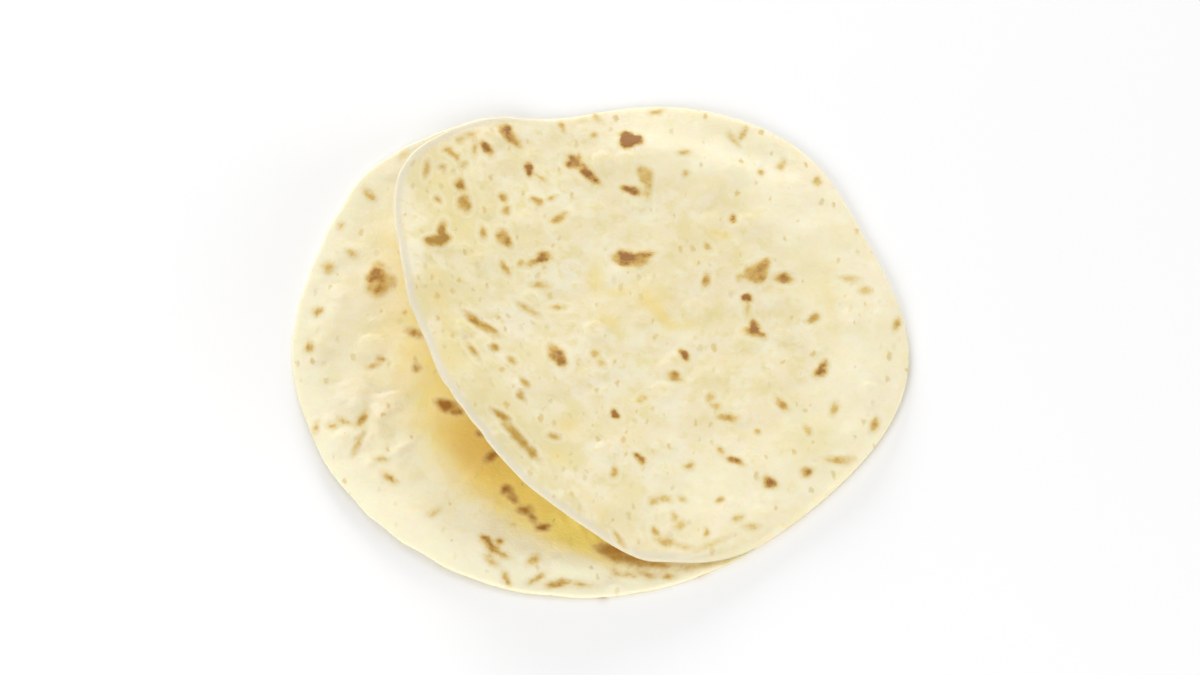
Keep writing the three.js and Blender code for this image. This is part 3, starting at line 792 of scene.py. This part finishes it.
# Colours are as seen on a screen, from 0 to 255.
dough = {
    "cream": (237, 224, 184),
    "blush": (238, 225, 191),
    "straw": (230, 217, 158),
    "flour": (241, 234, 206),
    # The lifted flap's greener colour and its pale patches, partly painted shade of its slope and of the dark
    # gap below it:
    "liftedTintAndShade": (228, 219, 171),
    "liftedPale": (239, 233, 206),
    "rim": (252, 244, 216),
    "butter": (238, 218, 148),
    # Painted golden glow of light through the flap, in the pocket, and its brightest yellow:
    "pocketGlow": (252, 224, 126),
    "lemonGlow": (255, 231, 134),
    # Painted shade: darker ochre under the flap's edge.
    "ochreShade": (226, 188, 102),
    "cutEdge": (226, 219, 196),
    "olive": (208, 194, 128),
    "tan": (230, 212, 156),
    "gold": (221, 194, 126),
    "brown": (206, 168, 92),
    "char": (162, 113, 58),
    "oliveBrown": (194, 160, 66),
    # Browned spots inside the pocket, tinted by its painted golden glow:
    "glowLitBrown": (172, 118, 26),
    "noises": {  # features for each metre, detail, shift
        "blotch": (34, 2, 0.1),
        "patch": (70, 3, 0.5),
        "mottle": (130, 4, 0.3),
        "floury": (130, 3, 1.7),
        "crumb": (260, 2, 0.9),
        "edge": (480, 2, 0.7),
        "fine": (900, 3, 1.3),
        "grain": (2200, 2, 1.1),
    },
    "noiseRoughness": 0.58,
    "steps": {  # two bounds, and the results there where they aren't 0 and 1
        "blush": (0.42, 0.6),
        "straw": (0.48, 0.64, 0, 0.6),
        "flour": (0.5, 0.66, 0, 0.7),
        "liftedPale": (0.42, 0.6),
        "crumb": (0.54, 0.68, 0, 0.6),
        "floury": (0.52, 0.66, 0, 0.6),
        "butter": (0.36, 0.54, 0.2, 0.95),
        "pocketGlow": (0.05, 0.95),
        "spot": (-1.25, 0.7),
        "spotRing": (-1.9, -1.1, 0, 0.36),
        "spotDark": (-0.6, 1.5, 0.2, 1.25),
        "speckChosen": (-0.02, 0.02),
        "speckNear": (-0.16, 0.1),
        "speckStrength": (0, 1, 0.15, 0.8),
        "speckColour": (0.3, 0.9),
    },
    "liftedShare": 0.75,
    "paleTints": [("rimBand", "rim", 0.75), ("strawy", "straw", 0.9), ("floury", "rim", 0.8)],
    "pocketMottle": 0.4,  # how far the mottling moves the painted glow's outline
    # Painted light in the pocket, the glow's brightest yellow and the ochre shade, then the cut edge's own
    # pale line:
    "glowShadeAndCutTints": [("lemonGlow", "lemonGlow", 1), ("ochreShade", "ochreShade", 0.6), ("cutEdge", "cutEdge", 0.9)],
    "spotEdge": 0.9,  # millimetres that the noises move a spot's outline
    "spotCrumb": 1.4,
    "darkEdge": 0.3,  # how far they change its darkness
    "darkCrumb": 0.9,
    "spotStops": [(0.1, "tan"), (0.36, "gold"), (0.66, "brown"), (1.0, "char")],
    # Spots on the lifted flap take its colder colour, partly painted shade; those in the pocket take the
    # painted golden glow:
    "spotTints": [("liftedTintAndShade", "oliveBrown", 0.45), ("pocketGlow", "glowLitBrown", 0.7)],
    "speckScale": 175,
    "speckTurn": 40,  # degrees
    "speckStretch": 1.7,
    "speckLeast": 0.2,  # added to each one's random size
    "speckSize": 0.2,
    "speckBend": 0.0026,  # metres
    "speckWarp": 1.3,  # the noise that bends them is this much coarser than the edge noise
    "roughness": 0.55,
    "roughnessFine": 0.2,
    "specular": 0.3,
    "through": 0.5,  # share of light that goes into the dough
    "reach": (0.0022, 0.0016, 0.0008),  # metres, for red, green and blue
    "reachScale": 1.0,
    "bump": 0.5,
    "bumpHigh": 0.0005,
    "bumpShares": {"crumb": 1.2, "fine": 0.5, "grain": 0.2, "specks": 0.3},
}


# The linear colour of a colour on a screen: ((s + 0.055) / 1.055)^2.4, and s / 12.92 in the darkest part.
def paint(name):
    shares = np.array(dough[name]) / 255
    linear = np.where(shares > 0.04045, ((shares + 0.055) / 1.055) ** 2.4, shares / 12.92)
    return (*linear.tolist(), 1.0)


baked = bpy.data.materials.new("doughBaked")
baked.use_nodes = True
tree = baked.node_tree


# Sets a node's inputs, by name or index, to numbers and colours, or links other nodes' sockets to them.
def fill(node, inputs):
    for key, value in inputs.items():
        if isinstance(value, bpy.types.NodeSocket):
            tree.links.new(value, node.inputs[key])
        else:
            node.inputs[key].default_value = value


# A new node of the dough, with its settings and inputs.
def addNode(kind, inputs, **settings):
    node = tree.nodes.new("ShaderNode" + kind)
    for name, setting in settings.items():
        setattr(node, name, setting)
    fill(node, inputs)
    return node


# One step of arithmetic with two sockets or numbers.
def work(operation, first, second):
    return addNode("Math", {0: first, 1: second}, operation=operation).outputs[0]


# first + second
def plus(first, second):
    return work("ADD", first, second)


# first - second
def minus(first, second):
    return work("SUBTRACT", first, second)


# first * second
def times(first, second):
    return work("MULTIPLY", first, second)


# How far a noise is from its middle, times a number.
def offMiddle(value, number):
    return times(plus(value, -0.5), number)


# A smooth step of a value, with the bounds and results of that name.
def step(value, name):
    inputs = dict(enumerate([value, *dough["steps"][name]]))
    return addNode("MapRange", inputs, interpolation_type="SMOOTHSTEP").outputs[0]


# The colour below at a share of 0, the colour above at 1 and a straight line between them.
def blend(share, below, above):
    return addNode("Mix", {"Factor": share, 6: below, 7: above}, data_type="RGBA").outputs[2]


# A point's place on the object, in metres.
def objectPlace():
    return addNode("TexCoord", {}).outputs["Object"]


# The noise of that name, shifted so that no two are alike.
def noise(name):
    scale, detail, shift = dough["noises"][name]
    moved = addNode("Mapping", {"Location": (shift, 0, 0), "Vector": objectPlace()}).outputs[0]
    inputs = {"Vector": moved, "Scale": scale, "Detail": detail, "Roughness": dough["noiseRoughness"]}
    return addNode("TexNoise", inputs).outputs["Fac"]


# What the mesh holds under that name, for each point.
def field(name):
    return addNode("Attribute", {}, attribute_name=name).outputs["Fac"]


# Small specks: near the middle of a flat cell, where the cell's own random number is below the share of
# specks.
def specks():
    warp = addNode("TexNoise", {
        "Scale": dough["noises"]["edge"][0] / dough["speckWarp"],
        "Vector": objectPlace(),
    })
    bend = addNode("VectorMath", {
        0: warp.outputs["Color"],
        1: (dough["speckBend"], dough["speckBend"], 0),
        2: objectPlace(),
    }, operation="MULTIPLY_ADD")
    stretched = addNode("Mapping", {
        "Rotation": (0, 0, math.radians(dough["speckTurn"])),
        "Scale": (dough["speckStretch"], 1, 1),
        "Vector": bend.outputs[0],
    })
    cells = addNode("TexVoronoi", {
        "Scale": dough["speckScale"],
        "Vector": stretched.outputs[0],
    }, voronoi_dimensions="2D")
    parts = addNode("SeparateColor", {0: cells.outputs["Color"]}).outputs
    chosen = step(minus(field("specks"), parts[0]), "speckChosen")
    size = times(plus(parts[1], dough["speckLeast"]), dough["speckSize"])
    near = step(minus(size, cells.outputs["Distance"]), "speckNear")
    colour = blend(step(parts[2], "speckColour"), paint("olive"), paint("gold"))
    return times(times(chosen, near), step(parts[2], "speckStrength")), colour


# Tints over a colour, each by its field times its share.
def tinted(colour, rows):
    for region, tint, share in rows:
        colour = blend(times(field(region), share), colour, paint(tint))
    return colour


# The bare dough, from its plain cream to each region's tint: the lifted flap's colder colour, partly painted
# shade, then the pocket's painted golden glow and painted ochre shade under the flap's edge.
def bareDough(mottle, crumb):
    patch = noise("patch")
    colour = blend(step(noise("blotch"), "blush"), paint("cream"), paint("blush"))
    colour = blend(step(mottle, "straw"), colour, paint("straw"))
    colour = blend(step(patch, "flour"), colour, paint("flour"))
    # The lifted flap's colder colour, partly painted shade.
    liftedTintAndShade = blend(step(patch, "liftedPale"), paint("liftedTintAndShade"), paint("liftedPale"))
    colour = blend(times(field("liftedTintAndShade"), dough["liftedShare"]), colour, liftedTintAndShade)
    colour = blend(step(crumb, "crumb"), colour, paint("straw"))
    colour = blend(step(noise("floury"), "floury"), colour, paint("flour"))
    colour = tinted(colour, dough["paleTints"])
    butter = times(field("buttery"), step(mottle, "butter"))
    colour = blend(butter, colour, paint("butter"))
    # Painted golden glow of light through the flap, its outline moved by the mottling.
    glowShare = plus(field("pocketGlow"), offMiddle(mottle, dough["pocketMottle"]))
    colour = blend(step(glowShare, "pocketGlow"), colour, paint("pocketGlow"))
    return tinted(colour, dough["glowShadeAndCutTints"])


# Larger browned spots and the few rows of painted crevice shade: tan at their soft outlines, darker towards
# their middles, and a faint floury ring.
def brownedDough(colour, edge, crumb):
    inSpot = plus(field("brownedAndShade"), offMiddle(edge, dough["spotEdge"]))
    inSpot = plus(inSpot, offMiddle(crumb, dough["spotCrumb"]))
    ring = times(step(inSpot, "spotRing"), minus(1, field("pocketGlow")))
    colour = blend(ring, colour, paint("flour"))
    dark = plus(field("brownAndShadeDepth"), offMiddle(crumb, dough["darkCrumb"]))
    dark = plus(dark, offMiddle(edge, dough["darkEdge"]))
    ramp = addNode("ValToRGB", {0: times(dark, step(inSpot, "spotDark"))})
    stops = ramp.color_ramp.elements
    for index, (at, name) in enumerate(dough["spotStops"]):
        stop = stops[index] if index < len(stops) else stops.new(at)
        stop.position = at
        stop.color = paint(name)
    return blend(step(inSpot, "spot"), colour, tinted(ramp.outputs[0], dough["spotTints"]))


# The whole dough: its colour, its crumb, flour and pores as bump, and light that goes some way into it.
def finishDough():
    names = ["mottle", "crumb", "edge", "fine", "grain"]
    mottle, crumb, edge, fine, grain = [noise(name) for name in names]
    speckShare, speckColour = specks()
    colour = blend(speckShare, bareDough(mottle, crumb), speckColour)
    shares = dough["bumpShares"]
    height = plus(times(crumb, shares["crumb"]), times(fine, shares["fine"]))
    height = plus(height, times(grain, shares["grain"]))
    height = minus(height, times(speckShare, shares["specks"]))
    bump = addNode("Bump", {"Strength": dough["bump"], "Distance": dough["bumpHigh"], "Height": height})
    fill(tree.nodes["Principled BSDF"], {
        "Base Color": brownedDough(colour, edge, crumb),
        "Roughness": plus(times(fine, dough["roughnessFine"]), dough["roughness"]),
        "Normal": bump.outputs[0],
        "Specular IOR Level": dough["specular"],
        "Subsurface Weight": dough["through"],
        "Subsurface Radius": dough["reach"],
        "Subsurface Scale": dough["reachScale"],
    })


finishDough()
tortilla.data.materials.append(baked)
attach(tortilla, "root")
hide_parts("tortilla")
print("dough finished")

studio = {
    "floorSize": 6,  # metres
    "floorDrop": 0.0002,
    "floorColour": (0.97, 0.97, 0.97, 1),
    "floorRoughness": 0.9,
    "skyColour": (1, 1, 1, 1),
    "skyStrength": 0.51,
    "lamps": [  # name, place, size and power
        ("softbox", (-0.3, 0.5, 1.3), 0.8, 1.6),
        ("lowSoftbox", (-0.25, 1.2, 0.27), 0.5, 10),
        ("fill", (-0.5, -0.85, 0.7), 0.7, 6.4),
        ("sideFill", (1.2, -0.3, 0.4), 0.9, 5.2),
    ],
    "lens": 800,  # millimetres, so that the picture is as flat as the photograph
    "sensor": 36,
    "imageWide": 1200,  # pixels
    "imageHigh": 675,
    "clipEnd": 50,  # metres
}


# A pale floor, an even sky and round lamps aimed at the origin.
def makeStudio():
    half = studio["floorSize"] / 2
    low = -studio["floorDrop"]
    corners = [(-half, -half, low), (half, -half, low), (half, half, low), (-half, half, low)]
    data = bpy.data.meshes.new("floor")
    data.from_pydata(corners, [], [(0, 1, 2, 3)])
    floor = addObject("floor", data)
    paper = bpy.data.materials.new("floorPaper")
    paper.use_nodes = True
    fill(paper.node_tree.nodes["Principled BSDF"], {
        "Base Color": studio["floorColour"],
        "Roughness": studio["floorRoughness"],
    })
    data.materials.append(paper)

    world = bpy.data.worlds.new("softSky")
    world.use_nodes = True
    sky = {"Color": studio["skyColour"], "Strength": studio["skyStrength"]}
    fill(world.node_tree.nodes["Background"], sky)
    bpy.context.scene.world = world

    for name, spot, size, power in studio["lamps"]:
        lamp = bpy.data.lights.new(name, "AREA")
        lamp.shape = "DISK"
        lamp.size = size
        lamp.energy = power
        lampObject = addObject(name, lamp)
        lampObject.location = spot
        lampObject.rotation_euler = (-Vector(spot)).to_track_quat("-Z", "Y").to_euler()


# The camera stands where the photograph was taken from, aimed so that the origin falls on its own pixel.
def makeCamera():
    tilt = math.radians(photo["elevation"])
    up = Vector((0, math.sin(tilt), math.cos(tilt)))
    back = Vector((0, -math.cos(tilt), math.sin(tilt)))
    lift = (photo["middle"][1] - studio["imageHigh"] / 2) / photo["pixelsPerMm"] * mm
    aside = (studio["imageWide"] / 2 - photo["middle"][0]) / photo["pixelsPerMm"] * mm
    away = studio["imageWide"] / photo["pixelsPerMm"] * mm * studio["lens"] / studio["sensor"]
    data = bpy.data.cameras.new("photoCamera")
    data.lens = studio["lens"]
    data.sensor_width = studio["sensor"]
    data.clip_end = studio["clipEnd"]
    camera = addObject("photoCamera", data)
    camera.location = Vector((aside, 0, 0)) + up * lift + back * away
    camera.rotation_euler = (-back).to_track_quat("-Z", "Y").to_euler()
    bpy.context.scene.camera = camera


makeStudio()
makeCamera()
bpy.context.scene.view_settings.view_transform = "Standard"
print("studio ready")
